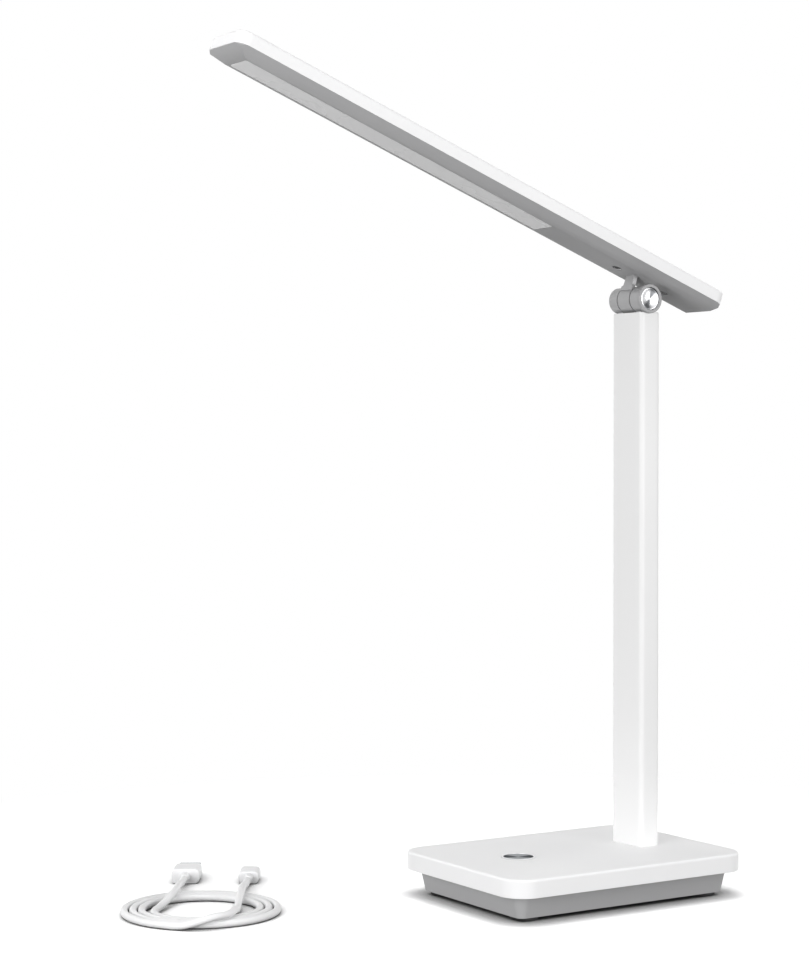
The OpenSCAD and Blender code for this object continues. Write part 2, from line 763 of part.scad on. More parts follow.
module head_cover() {
    color(white) at_head() difference() {
        union() {
            difference() {
                translate([0, -head_mid, seam_n])
                    soft_slab(head_w, head_l, head_cover_h, head_corner, cover_edge);
                translate([0, -head_mid, seam_n - 1]) linear_extrude(roof_n - seam_n + 1)
                    round_rect(head_w - 2 * head_wall, head_l - 2 * head_wall, head_corner - head_wall);
            }
            for (s = led_screw_s) translate([0, -s, 0]) rod(5, spreader_n + spreader_t, roof_n + 0.5);
        }
        for (s = led_screw_s) translate([0, -s, 0])
            rod(2 + 2 * run_fit, spreader_n + spreader_t - 1, roof_n);
    }
}

// Milky panel: flush with the underside, held by a flange that rests on the shell's floor
module diffuser() {
    color("#e9e9e6") at_head() {
        translate([0, -panel_mid, shell_n]) linear_extrude(floor_n - shell_n + 0.2)
            round_rect(panel_w - 2 * slit, panel_l - 2 * slit, 1.5 - slit);
        translate([0, -panel_mid, floor_n]) linear_extrude(panel_flange_t)
            round_rect(panel_w + 2, panel_l + 1.2, 1.5);
    }
}

module led_board() {
    color("#f0f0ec") at_head() difference() {
        translate([0, -panel_mid, led_board_n]) linear_extrude(led_board_t)
            square([led_board_w, led_board_l], center = true);
        for (s = led_screw_s) translate([0, -s, 0]) rod(2.4, led_board_n - 1, spreader_n + 1);
    }
}

module led_chips() {
    color("#f2e6a8") at_head() for (i = [0:led_count - 1], x = [-4, 4])
        translate([x, -panel_mid + led_board_l * ((i + 0.5) / led_count - 0.5), led_n])
            linear_extrude(led_chip_h) square([2.8, 3.5], center = true);
}

module heat_spreader() {
    color("#b4b7ba") at_head() difference() {
        translate([0, -panel_mid, spreader_n]) linear_extrude(spreader_t)
            square([led_board_w + 6, led_board_l + 2], center = true);
        for (s = led_screw_s) translate([0, -s, 0]) rod(2.4, spreader_n - 1, spreader_n + spreader_t + 1);
    }
}

module led_screws() {
    color(steel) at_head() for (s = led_screw_s) translate([0, -s, 0])
        screw_up(2, 3.6, 0.7, led_board_n, roof_n - led_board_n - 0.4);
}

module neck_screws() {
    color("#2b2b2d") at_head() for (s = [neck_screw_f, -neck_screw_r]) translate([0, -s, 0])
        screw_up(neck_screw_d, neck_head_d, 0.8, shell_n + 0.9, 5);
}

// Supply wire up the post
module post_wire() {
    color(dark) translate([0, post_y, 0]) rod(wire_d, foot_plate_z, post_top - 2);
}

// Supply wire from the neck plate to the underside of the light board
module head_wire() {
    thick = 1.4;
    s0 = neck_screw_f + 6;
    s1 = panel_rear + 5;
    n0 = floor_n + thick / 2 + run_fit;
    n1 = led_board_n - thick / 2 - run_fit;
    color(dark) at_head() translate([4, -s0, n0]) rotate([90 - atan2(n1 - n0, s1 - s0), 0, 0])
        cylinder(h = norm([s1 - s0, n1 - n0]), d = thick);
}

// Cable on the table, in its own frame
module at_cable() {
    translate([cable_at[0], cable_at[1], 0]) rotate([0, 0, cable_turn]) children();
}

function coil_r(a) = coil_start + coil_pitch * (a - coil_a0) / 360;
function coil_point(a) = [coil_r(a) * cos(a), coil_r(a) * sin(a), cable_d / 2];
function unit(v) = v / norm(v);
function coil_way(a) = unit([-coil_r(a) * sin(a) + coil_pitch / (2 * PI) * cos(a),
    coil_r(a) * cos(a) + coil_pitch / (2 * PI) * sin(a), 0]);

// Ring of n corners around p, square to the way w, for a tube that is never upright
function ring(p, w, d, n) = let (side = unit(cross(w, [0, 0, 1])), up = cross(side, w))
    [for (k = [0:n - 1]) p + d / 2 * (side * cos(360 * k / n) + up * sin(360 * k / n))];

// Tube through ring centres ps with ways ws
module tube(ps, ws, d, n) {
    m = len(ps);
    pts = [for (i = [0:m - 1]) each ring(ps[i], ws[i], d, n)];
    sides = [for (i = [0:m - 2], k = [0:n - 1]) let (a = i * n + k, b = i * n + (k + 1) % n)
        each [[a, b, a + n], [b, b + n, a + n]]];
    first = [for (k = [1:n - 2]) [0, k + 1, k]];
    last = [for (k = [1:n - 2]) [(m - 1) * n, (m - 1) * n + k, (m - 1) * n + k + 1]];
    polyhedron(pts, concat(sides, first, last));
}

// Smooth line through chosen points, with one extra point between each two
function between(p, i) = let (a = p[max(i - 1, 0)], b = p[i], c = p[i + 1], e = p[min(i + 2, len(p) - 1)])
    (-a + 9 * b + 9 * c - e) / 16;
function smooth(p) = [for (i = [0:len(p) - 2]) each [p[i], between(p, i)], p[len(p) - 1]];
function ways(p, first, last) = [for (i = [0:len(p) - 1])
    i == 0 ? first : i == len(p) - 1 ? last : unit(p[i + 1] - p[i - 1])];

coil_a1 = coil_a0 + 360 * coil_loops;
coil_n = ceil(coil_loops * coil_rings);
coil_as = [for (i = [0:coil_n]) coil_a0 + (coil_a1 - coil_a0) * i / coil_n];
coil_ps = [for (a = coil_as) coil_point(a)];
coil_ws = [for (a = coil_as) coil_way(a)];
coil_gap = min([for (i = [0:coil_n], j = [0:coil_n]) if (j > i + coil_rings / 2)
    norm(coil_ps[i] - coil_ps[j])]) - cable_d;
echo(coil_gap = coil_gap);

// Hand-chosen routes of the two free ends, from the coil out to the plugs
lead_a_points = [[-23, -13, 2], [-24, -6, 2], [-22.5, 3, 2.2], [-20, 11, 3.6], [-18, 19, 5.5],
    [-17, 27, 6.1], [-17, 36, 6.1], [-17, 44, 5.6], [-17, 52, 4.6], [-17, 58, 4.1]];
lead_c_points = [[-5, -40.6, 2.5], [2, -41, 4.4], [8.6, -39, 6.1], [13.6, -34.5, 6.1], [16.6, -28, 6.1],
    [17.6, -20, 5.9], [17.5, -11, 3.9], [17.2, -2, 2.3], [17, 7, 2.7], [17, 16, 4.8], [17, 24, 6.1],
    [17, 33, 6.1], [17, 42, 5.6], [17, 50, 4.4], [17, 58, 3.4]];
lead_a_end = [-plug_x, plug_y, grip_a[2] / 2];
lead_c_end = [plug_x, plug_y, grip_c[2] / 2];
lead_a_start = coil_point(coil_a0);
lead_c_start = coil_point(coil_a1);
lead_a_ps = concat([lead_a_start, lead_a_start - coil_way(coil_a0) * cable_d], smooth(lead_a_points),
    [lead_a_end - [0, cable_d, 0], lead_a_end]);
lead_c_ps = concat([lead_c_start, lead_c_start + coil_way(coil_a1) * cable_d], smooth(lead_c_points),
    [lead_c_end - [0, cable_d, 0], lead_c_end]);

module cable_coil() {
    color(white) at_cable() tube(coil_ps, coil_ws, cable_d, 6);
}

module cable_lead_a() {
    color(white) at_cable() tube(lead_a_ps, ways(lead_a_ps, -coil_way(coil_a0), [0, 1, 0]), cable_d, 8);
}

module cable_lead_c() {
    color(white) at_cable() tube(lead_c_ps, ways(lead_c_ps, coil_way(coil_a1), [0, 1, 0]), cable_d, 8);
}

// Moulded grip with its strain relief, lying along Y from the cable's end
module grip(size) {
    translate([0, relief_l, size[2] / 2]) rotate([-90, 0, 0]) {
        linear_extrude(size[1]) round_rect(size[0], size[2], 2.4);
        translate([0, 0, -relief_l]) cylinder(h = relief_l, d1 = relief_d - 0.8, d2 = relief_d);
    }
}

module usb_a_grip() {
    color(white) at_cable() translate([-plug_x, plug_y, 0]) grip(grip_a);
}

module usb_c_grip() {
    color(white) at_cable() translate([plug_x, plug_y, 0]) grip(grip_c);
}

module usb_a_shell() {
    color(steel) at_cable() translate([-plug_x, plug_y + relief_l + grip_a[1], grip_a[2] / 2])
        difference() {
            rotate([-90, 0, 0]) linear_extrude(shell_a_l) difference() {
                round_rect(shell_a_w, shell_a_t, 0.5);
                round_rect(shell_a_w - 0.7, shell_a_t - 0.7, 0.3);
            }
            for (s = [-1, 1]) translate([s * 2.8, shell_a_l - 5.5, 2]) cube([2.2, 2.2, 2], center = true);
        }
}

// Contact carrier inside the large plug
module usb_a_tongue() {
    color("#e8e8e8") at_cable() translate([-plug_x, plug_y + relief_l + grip_a[1], grip_a[2] / 2]) {
        translate([0, (shell_a_l - 0.4) / 2, -0.95])
            cube([shell_a_w - 1.4, shell_a_l - 0.4, 1.8], center = true);
    }
}

module usb_c_shell() {
    color(steel) at_cable() translate([plug_x, plug_y + relief_l + grip_c[1], grip_c[2] / 2])
        rotate([-90, 0, 0]) difference() {
            linear_extrude(shell_c_l) round_rect(shell_c_w, shell_c_t, 1.2);
            translate([0, 0, 1]) linear_extrude(shell_c_l) round_rect(shell_c_w - 0.7, shell_c_t - 0.7, 0.85);
        }
}

// Sets the lamp and its cable back from the origin
module at_stand() {
    translate([0, stand_y, 0]) children();
}

at_stand() base_cover();
at_stand() base_tray();
at_stand() rubber_feet();
at_stand() case_screws();
at_stand() ballast_plate();
at_stand() battery_pad();
at_stand() battery_cells();
at_stand() main_board();
at_stand() board_parts();
at_stand() board_screws();
at_stand() button_switch();
at_stand() switch_plunger();
at_stand() button_cap();
at_stand() button_ring();
at_stand() inlet_board();
at_stand() usb_c_inlet();
at_stand() post_foot();
at_stand() foot_screws();
at_stand() post();
at_stand() post_screws();
at_stand() hinge_saddle();
at_stand() saddle_screw();
at_stand() hinge_knuckle();
at_stand() friction_washers();
at_stand() hinge_bolt();
at_stand() spring_washers();
at_stand() hinge_nut();
at_stand() hinge_cap();
at_stand() hinge_bezel();
at_stand() hinge_disc();
at_stand() head_shell();
at_stand() head_cover();
at_stand() diffuser();
at_stand() led_board();
at_stand() led_chips();
at_stand() heat_spreader();
at_stand() led_screws();
at_stand() neck_screws();
at_stand() post_wire();
at_stand() head_wire();
at_stand() cable_coil();
at_stand() cable_lead_a();
at_stand() cable_lead_c();
at_stand() usb_a_shell();
at_stand() usb_a_tongue();
at_stand() usb_a_grip();
at_stand() usb_c_shell();
at_stand() usb_c_grip();
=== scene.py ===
import math

import bmesh
import bpy
from mathutils import Matrix, Vector


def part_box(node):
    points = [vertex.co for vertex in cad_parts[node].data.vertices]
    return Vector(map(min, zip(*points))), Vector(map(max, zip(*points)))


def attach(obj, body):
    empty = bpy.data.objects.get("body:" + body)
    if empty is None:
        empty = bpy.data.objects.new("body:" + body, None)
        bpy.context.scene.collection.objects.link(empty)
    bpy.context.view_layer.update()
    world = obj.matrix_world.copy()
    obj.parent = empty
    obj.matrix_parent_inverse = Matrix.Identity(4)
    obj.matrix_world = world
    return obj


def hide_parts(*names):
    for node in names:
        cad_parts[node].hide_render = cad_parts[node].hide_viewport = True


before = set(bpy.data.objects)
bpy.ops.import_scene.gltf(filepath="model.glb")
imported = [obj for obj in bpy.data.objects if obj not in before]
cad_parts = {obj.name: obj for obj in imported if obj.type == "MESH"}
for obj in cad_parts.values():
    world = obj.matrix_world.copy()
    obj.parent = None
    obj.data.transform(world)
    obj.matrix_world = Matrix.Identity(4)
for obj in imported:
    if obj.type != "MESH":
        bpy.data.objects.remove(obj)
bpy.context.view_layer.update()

# Studio: white paper under six softboxes: one overhead, low ones in front and at the right, a small one near
# the bar, and weak ones behind and at the left. Only those overhead and at the right are seen in gloss.
# The paper keeps the shadow round the base, with painted shade deepening it where the gap closes, and is
# plain white further out.
MM = 0.001
FLOOR_REACH, FLOOR_Z = 30.0, -0.0002
PAPER_HEX = "#4E4E4E"
PAPER_GAIN, FADE_FROM, FADE_TO, PAINTED_SHADE_REACH = 1.78, 0.24, 0.46, 0.016
SKY_LEVEL = 0.17
LAMPS_AIM = Vector((0, 0, 0.2))
CAMERA_AT = (0.9468, -0.6510, 0.2375)
CAMERA_TURN, CAMERA_DIP = math.radians(57.44), math.radians(0.957)
CAMERA_LENS, CAMERA_SENSOR = 84.36, 36.0


def linear(code):
    """An sRGB hex value as the linear colour that a shader takes."""
    parts = [int(code[i : i + 2], 16) / 255 for i in (1, 3, 5)]
    return [*(c / 12.92 if c <= 0.04045 else ((c + 0.055) / 1.055) ** 2.4 for c in parts), 1.0]


def add(tree, kind, inputs=None, **settings):
    """A node with its settings; an input is a value, or the socket that feeds it."""
    made = tree.nodes.new(kind)
    for name, value in settings.items():
        setattr(made, name, value)
    for key, value in (inputs or {}).items():
        if isinstance(value, bpy.types.NodeSocket):
            tree.links.new(value, made.inputs[key])
        else:
            made.inputs[key].default_value = value
    return made


def seen_directly(tree):
    """1 for a ray from the camera or a mirror-like or clear surface, 0 for one that only carries light."""
    path = add(tree, "ShaderNodeLightPath")
    first = add(tree, "ShaderNodeMath", {0: path.outputs["Is Camera Ray"], 1: path.outputs["Is Glossy Ray"]},
                operation="MAXIMUM")
    return add(tree, "ShaderNodeMath", {0: first.outputs[0], 1: path.outputs["Is Transmission Ray"]},
               operation="MAXIMUM").outputs[0]


scene = bpy.context.scene
scene.view_settings.view_transform = "Standard"

sky = bpy.data.worlds.new("studio_sky")
sky.use_nodes = True
sky.node_tree.nodes.clear()
dim = add(sky.node_tree, "ShaderNodeBackground", {"Color": (1, 1, 1, 1), "Strength": SKY_LEVEL})
white = add(sky.node_tree, "ShaderNodeBackground", {"Color": (1, 1, 1, 1), "Strength": 1.0})
either = add(sky.node_tree, "ShaderNodeMixShader",
             {0: seen_directly(sky.node_tree), 1: dim.outputs[0], 2: white.outputs[0]})
add(sky.node_tree, "ShaderNodeOutputWorld", {"Surface": either.outputs[0]})
scene.world = sky

paper = bpy.data.materials.new("sweep_paper_matt")
paper.use_nodes = True
paper.node_tree.nodes.clear()
dull = add(paper.node_tree, "ShaderNodeBsdfDiffuse", {"Color": linear(PAPER_HEX)})
# Painted shade: near the object the seen paper is darkened by ambient occlusion, which deepens the shadow
# round the base.
painted_contact_shade = add(paper.node_tree, "ShaderNodeAmbientOcclusion", {"Distance": PAINTED_SHADE_REACH}, samples=8)
lifted = add(paper.node_tree, "ShaderNodeVectorMath", {0: painted_contact_shade.outputs["Color"], "Scale": PAPER_GAIN},
             operation="SCALE")
near = add(paper.node_tree, "ShaderNodeBsdfDiffuse", {"Color": lifted.outputs[0]})
far = add(paper.node_tree, "ShaderNodeEmission", {"Color": (1, 1, 1, 1), "Strength": 1.0})
spot = add(paper.node_tree, "ShaderNodeTexCoord")
reach = add(paper.node_tree, "ShaderNodeVectorMath", {0: spot.outputs["Object"]}, operation="LENGTH")
fade = add(paper.node_tree, "ShaderNodeMapRange", {"Value": reach.outputs["Value"], "From Min": FADE_FROM,
           "From Max": FADE_TO}, interpolation_type="SMOOTHSTEP")
bright = add(paper.node_tree, "ShaderNodeMixShader",
             {0: fade.outputs[0], 1: near.outputs[0], 2: far.outputs[0]})
either = add(paper.node_tree, "ShaderNodeMixShader",
             {0: seen_directly(paper.node_tree), 1: dull.outputs[0], 2: bright.outputs[0]})
add(paper.node_tree, "ShaderNodeOutputMaterial", {"Surface": either.outputs[0]})

corners = [(x * FLOOR_REACH, y * FLOOR_REACH, FLOOR_Z) for x, y in ((-1, -1), (1, -1), (1, 1), (-1, 1))]
mesh = bpy.data.meshes.new("sweep")
mesh.from_pydata(corners, [], [(0, 1, 2, 3)])
mesh.materials.append(paper)
floor = bpy.data.objects.new("sweep", mesh)
scene.collection.objects.link(floor)

for name, at, width, height, watts, mirrored in (
    ("top_softbox", (0.10, -0.14, 1.90), 1.6, 1.6, 10.7, True),
    ("side_softbox", (1.70, 0.45, 0.28), 1.6, 0.5, 15.5, True),
    ("front_softbox", (0.45, -1.75, 0.27), 1.6, 0.5, 15.8, False),
    ("near_softbox", (0.35, -0.70, 0.28), 0.35, 0.3, 2.35, False),
    ("back_softbox", (0.30, 1.85, 0.60), 1.6, 0.8, 11.0, False),
    ("left_softbox", (-1.75, -0.15, 0.60), 1.6, 0.8, 11.0, False),
):
    lamp = bpy.data.lights.new(name, "AREA")
    lamp.shape, lamp.size, lamp.size_y, lamp.energy = "RECTANGLE", width, height, watts
    box = bpy.data.objects.new(name, lamp)
    box.location = at
    box.rotation_euler = (LAMPS_AIM - Vector(at)).to_track_quat("-Z", "Y").to_euler()
    box.visible_camera, box.visible_glossy = False, mirrored
    scene.collection.objects.link(box)

lens = bpy.data.cameras.new("camera")
lens.lens, lens.sensor_width, lens.sensor_fit = CAMERA_LENS, CAMERA_SENSOR, "AUTO"
camera = bpy.data.objects.new("camera", lens)
camera.location = CAMERA_AT
look = Vector((-math.sin(CAMERA_TURN) * math.cos(CAMERA_DIP), math.cos(CAMERA_TURN) * math.cos(CAMERA_DIP),
               -math.sin(CAMERA_DIP)))
camera.rotation_euler = look.to_track_quat("-Z", "Y").to_euler()
scene.collection.objects.link(camera)
scene.camera = camera

# Charging cable: 0.88 m of round PVC-sheathed lead, 3.8 mm thick, extruded with a matt skin.
# It lies in three loops side by side; both plug tails cross the loops in a low hump and run out parallel.
CABLE_MIDDLE, CABLE_TURN = (-0.062, -0.1273842, 0), math.radians(57)
CABLE_PLACE = Matrix.Translation(CABLE_MIDDLE) @ Matrix.Rotation(CABLE_TURN, 4, "Z")
CABLE_D = 3.8
COIL_START, COIL_PITCH, COIL_LOOPS, COIL_FROM, LOOP_POINTS = 27.0, 4.4, 3.07, 225.0, 24
PLUG_X, PLUG_Y = 17.0, 68.0
GRIP_A, GRIP_C = (15.0, 17.0, 8.0), (11.0, 16.6, 6.6)
LEAD_A = [(-23, -13, 2), (-24, -6, 2), (-22.5, 3, 2.2), (-20, 11, 3.6), (-18, 19, 5.5), (-17, 27, 6.1),
          (-17, 36, 6.1), (-17, 44, 5.6), (-17, 52, 4.6), (-17, 58, 4.1)]
LEAD_C = [(-5, -40.6, 2.5), (2, -41, 4.4), (8.6, -39, 6.1), (13.6, -34.5, 6.1), (16.6, -28, 6.1),
          (17.6, -20, 5.9), (17.5, -11, 3.9), (17.2, -2, 2.3), (17, 7, 2.7), (17, 16, 4.8), (17, 24, 6.1),
          (17, 33, 6.1), (17, 42, 5.6), (17, 50, 4.4), (17, 58, 3.4)]


def coil_point(angle):
    """A place on the flat spiral, in the cable's own frame, in millimetres."""
    radius = COIL_START + COIL_PITCH * (angle - COIL_FROM) / 360
    turn = math.radians(angle)
    return Vector((radius * math.cos(turn), radius * math.sin(turn), CABLE_D / 2))


def coil_way(angle):
    """The direction in which the spiral runs there."""
    return (coil_point(angle + 0.5) - coil_point(angle - 0.5)).normalized()


def shade(name, surface):
    """A material with one Principled shader; surface sets its own sockets."""
    made = bpy.data.materials.new(name)
    made.use_nodes = True
    tree = made.node_tree
    tree.nodes.clear()
    skin = add(tree, "ShaderNodeBsdfPrincipled", surface)
    add(tree, "ShaderNodeOutputMaterial", {"Surface": skin.outputs[0]})
    return made, tree, skin


def moulded(name, main_hex, cloud_hex, roughness, grain_mm, grain_depth_mm, cloud_mm=45.0, spread=0.06,
            **sockets):
    """Plastic or rubber from a mould: colour that clouds very slightly, and a fine all-over grain."""
    made, tree, skin = shade(name, {"IOR": 1.53, **{k.replace("_", " "): v for k, v in sockets.items()}})
    place = add(tree, "ShaderNodeTexCoord").outputs["Object"]
    cloud = add(tree, "ShaderNodeTexNoise", {"Vector": place, "Scale": 1 / (cloud_mm * MM), "Detail": 3.0})
    tint = add(tree, "ShaderNodeMix", {0: cloud.outputs["Fac"], 6: linear(main_hex), 7: linear(cloud_hex)},
               data_type="RGBA")
    gloss = add(tree, "ShaderNodeMapRange", {"Value": cloud.outputs["Fac"], "From Min": 0.3, "From Max": 0.7,
                "To Min": roughness - spread, "To Max": roughness + spread})
    grain = add(tree, "ShaderNodeTexNoise", {"Vector": place, "Scale": 1 / (grain_mm * MM), "Detail": 2.0})
    relief = add(tree, "ShaderNodeBump", {"Height": grain.outputs["Fac"], "Strength": 0.35,
                 "Distance": grain_depth_mm * MM})
    for socket, source in (("Base Color", tint.outputs[2]), ("Roughness", gloss.outputs[0]),
                           ("Normal", relief.outputs[0])):
        tree.links.new(source, skin.inputs[socket])
    return made


def coat(piece, *materials):
    """The piece wears these materials and no others."""
    piece.data.materials.clear()
    for material in materials:
        piece.data.materials.append(material)
    return piece


# Soft PVC from an extruder: almost no sheen, and a skin that is a little uneven in gloss.
cable_skin = moulded("PVC_sheath_extruded_white", "#F1F1F1", "#ECECED", 0.52, 0.9, 0.03, cloud_mm=25)

coil_end = COIL_FROM + 360 * COIL_LOOPS
steps = math.ceil(COIL_LOOPS * LOOP_POINTS)
coil = [coil_point(COIL_FROM + (coil_end - COIL_FROM) * i / steps) for i in range(steps + 1)]
route = [Vector((-PLUG_X, PLUG_Y, GRIP_A[2] / 2)), Vector((-PLUG_X, PLUG_Y - CABLE_D, GRIP_A[2] / 2)),
         *map(Vector, reversed(LEAD_A)), coil[0] - coil_way(COIL_FROM) * CABLE_D, *coil,
         coil[-1] + coil_way(coil_end) * CABLE_D, *map(Vector, LEAD_C),
         Vector((PLUG_X, PLUG_Y - CABLE_D, GRIP_C[2] / 2)), Vector((PLUG_X, PLUG_Y, GRIP_C[2] / 2))]
line = bpy.data.curves.new("charging_cable", "CURVE")
line.dimensions, line.resolution_u = "3D", 4
line.bevel_depth, line.bevel_resolution, line.use_fill_caps = CABLE_D / 2 * MM, 6, True
spline = line.splines.new("BEZIER")
spline.bezier_points.add(len(route) - 1)
for knot, point in zip(spline.bezier_points, route):
    knot.co = CABLE_PLACE @ (point * MM)
    knot.handle_left_type = knot.handle_right_type = "AUTO"
cable = bpy.data.objects.new("charging_cable", line)
scene.collection.objects.link(cable)
coat(cable, cable_skin)

# Plug bodies: PVC moulded over each plug and its solder joints, in a two-part mould with soft edges.
# A plain sleeve of the same shot carries the bend of the cable. The large plug goes into a charger, the small
# one into the lamp.
RELIEF_L, RELIEF_D0, RELIEF_D1, RELIEF_EDGE = 6.8, 4.6, 5.4, 0.2
GRIP_CORNER, GRIP_EDGE = 2.4, 0.7
CRISP_ABOVE = math.radians(35)


def piece_from(name, verts, faces, smooth=CRISP_ABOVE):
    """An object from points in metres and faces; edges sharper than smooth stay crisp."""
    built = bpy.data.meshes.new(name)
    built.from_pydata([tuple(v) for v in verts], [], faces)
    shell = bmesh.new()
    shell.from_mesh(built)
    bmesh.ops.remove_doubles(shell, verts=shell.verts, dist=1e-7)
    bmesh.ops.recalc_face_normals(shell, faces=shell.faces)
    shell.to_mesh(built)
    shell.free()
    built.shade_smooth()
    built.set_sharp_from_angle(angle=smooth)
    made = bpy.data.objects.new(name, built)
    scene.collection.objects.link(made)
    return made


def rounded_loop(width, height, corner, steps=8):
    """Points round a rectangle with round corners, anticlockwise."""
    corner = min(corner, width / 2, height / 2)
    loop = []
    for quarter, (sx, sy) in enumerate(((1, 1), (-1, 1), (-1, -1), (1, -1))):
        for i in range(steps + 1):
            turn = math.radians(90 * quarter + 90 * i / steps)
            loop.append((sx * (width / 2 - corner) + corner * math.cos(turn),
                         sy * (height / 2 - corner) + corner * math.sin(turn)))
    return loop


def loft(rings):
    """Points and faces of a closed body through rings of equally many points."""
    count = len(rings[0])
    verts = [p for ring in rings for p in ring]
    faces = []
    for low in range(0, len(verts) - count, count):
        high = low + count
        faces += [(low + k, low + (k + 1) % count, high + (k + 1) % count, high + k) for k in range(count)]
    return verts, [*faces, tuple(reversed(range(count))), tuple(range(len(verts) - count, len(verts)))]


def plug_body(name, side, size):
    """Overmoulded plug body with its sleeve, along +Y from the end of the cable."""
    width, length, height = size
    sleeve = [(0.0, RELIEF_D0 - 2 * RELIEF_EDGE), (RELIEF_EDGE, RELIEF_D0), (RELIEF_L, RELIEF_D1)]
    sections = [(y, d, d, d / 2) for y, d in sleeve]
    edge = [(1 - math.sin(t), 1 - math.cos(t)) for t in (math.radians(15 * i) for i in range(7))]
    ends = [(RELIEF_L + GRIP_EDGE * along, inset) for inset, along in edge]
    ends += [(RELIEF_L + length - GRIP_EDGE * along, inset) for inset, along in reversed(edge)]
    sections += [(y, width - 2 * GRIP_EDGE * inset, height - 2 * GRIP_EDGE * inset,
                  GRIP_CORNER - GRIP_EDGE * inset * 0.5) for y, inset in ends]
    rings = [[CABLE_PLACE @ (Vector((side * PLUG_X + x, PLUG_Y + y, height / 2 + z)) * MM)
              for x, z in rounded_loop(w, h, r)] for y, w, h, r in sections]
    return piece_from(name, *loft(rings))


# Overmoulding PVC: harder and glossier than the cable's skin.
plug_skin = moulded("PVC_overmoulded_white", "#F2F2F3", "#EEEEEF", 0.38, 0.8, 0.02, cloud_mm=18)
grip_a = coat(plug_body("plug_body_large", -1, GRIP_A), plug_skin)
grip_c = coat(plug_body("plug_body_small", 1, GRIP_C), plug_skin)
for grip, node in ((grip_a, "usb_a_grip"), (grip_c, "usb_c_grip")):
    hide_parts(node)
    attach(grip, "root")

# Plug shells: stainless sheet, folded for the large plug and drawn without a seam for the small one.
# Inside the large one a white carrier holds four gold-plated contacts; the small one has two rows of twelve.
SHELL_A_L, SHELL_C_L = 12.0, 6.5
CONTACT_A, CONTACT_A_X, CONTACT_A_BACK = (1.1, 6.5, 0.16), (-3.5, -1.0, 1.0, 3.5), 4.6
CONTACT_C, CONTACT_C_COUNT, CONTACT_C_PITCH = (0.26, 3.0, 0.1), 12, 0.5
CONTACT_C_LEVEL, CONTACT_C_BACK = 0.72, 2.8
GOLD_HEX, SHEET_HEX = "#C9A24A", "#C6C8CA"


def metal(name, base_hex, roughness, stroke_mm, stretch=(1.0, 1.0, 1.0), depth_mm=0.004, spread=0.07,
          **sockets):
    """Bare or plated metal with the fine marks of how it was worked, drawn out along one direction."""
    made, tree, skin = shade(name, {"Base Color": linear(base_hex), "Metallic": 1.0,
                                    **{k.replace("_", " "): v for k, v in sockets.items()}})
    place = add(tree, "ShaderNodeTexCoord").outputs["Object"]
    along = add(tree, "ShaderNodeMapping", {"Vector": place, "Scale": stretch})
    marks = add(tree, "ShaderNodeTexNoise", {"Vector": along.outputs[0], "Scale": 1 / (stroke_mm * MM),
                "Detail": 4.0})
    gloss = add(tree, "ShaderNodeMapRange", {"Value": marks.outputs["Fac"], "From Min": 0.25,
                "From Max": 0.75, "To Min": max(roughness - spread, 0.03), "To Max": roughness + spread})
    relief = add(tree, "ShaderNodeBump", {"Height": marks.outputs["Fac"], "Strength": 0.5,
                 "Distance": depth_mm * MM})
    tree.links.new(gloss.outputs[0], skin.inputs["Roughness"])
    tree.links.new(relief.outputs[0], skin.inputs["Normal"])
    return made


def repeated(name, tree_name, seats, build, sizes, material):
    """A plain mesh of copies made by a node tree: build draws one copy, and the tree sets it at each seat."""
    tree = bpy.data.node_groups.new(tree_name, "GeometryNodeTree")
    tree.interface.new_socket("Seats", in_out="INPUT", socket_type="NodeSocketGeometry")
    for label, value in sizes.items():
        socket = tree.interface.new_socket(label, in_out="INPUT", socket_type="NodeSocketFloat")
        socket.default_value = value
    tree.interface.new_socket("Geometry", in_out="OUTPUT", socket_type="NodeSocketGeometry")
    given = add(tree, "NodeGroupInput").outputs
    one = build(tree, given)
    turn = add(tree, "GeometryNodeInputNamedAttribute", {"Name": "turn"}, data_type="FLOAT_VECTOR")
    set_down = add(tree, "GeometryNodeInstanceOnPoints", {"Points": given["Seats"], "Instance": one,
                   "Rotation": turn.outputs[0]})
    real = add(tree, "GeometryNodeRealizeInstances", {0: set_down.outputs[0]})
    dressed = add(tree, "GeometryNodeSetMaterial", {"Geometry": real.outputs[0], "Material": material})
    add(tree, "NodeGroupOutput", {0: dressed.outputs[0]})

    points = bpy.data.meshes.new(name + "_seats")
    points.from_pydata([tuple(at) for at, _ in seats], [], [])
    turns = points.attributes.new("turn", "FLOAT_VECTOR", "POINT")
    turns.data.foreach_set("vector", [a for _, euler in seats for a in euler])
    carrier = bpy.data.objects.new(name + "_carrier", points)
    scene.collection.objects.link(carrier)
    grown = carrier.modifiers.new(tree_name, "NODES")
    grown.node_group = tree
    for item in tree.interface.items_tree:
        if item.in_out == "INPUT" and item.name in sizes:
            grown[item.identifier] = sizes[item.name]
    deps = bpy.context.evaluated_depsgraph_get()
    plain = bpy.data.meshes.new_from_object(carrier.evaluated_get(deps))
    plain.name = name
    bpy.data.objects.remove(carrier)
    made = bpy.data.objects.new(name, plain)
    scene.collection.objects.link(made)
    coat(made, material)
    plain.shade_smooth()
    plain.set_sharp_from_angle(angle=CRISP_ABOVE)
    return made


def contact_sizes(size):
    """The tree's inputs for a contact of that width, length and thickness."""
    return {label: value * MM for label, value in zip(("Width", "Length", "Thickness"), size)}


def contact_strip(tree, given):
    """One flat contact."""
    size = add(tree, "ShaderNodeCombineXYZ", {0: given["Width"], 1: given["Length"], 2: given["Thickness"]})
    return add(tree, "GeometryNodeMeshCube", {"Size": size.outputs[0]}).outputs["Mesh"]


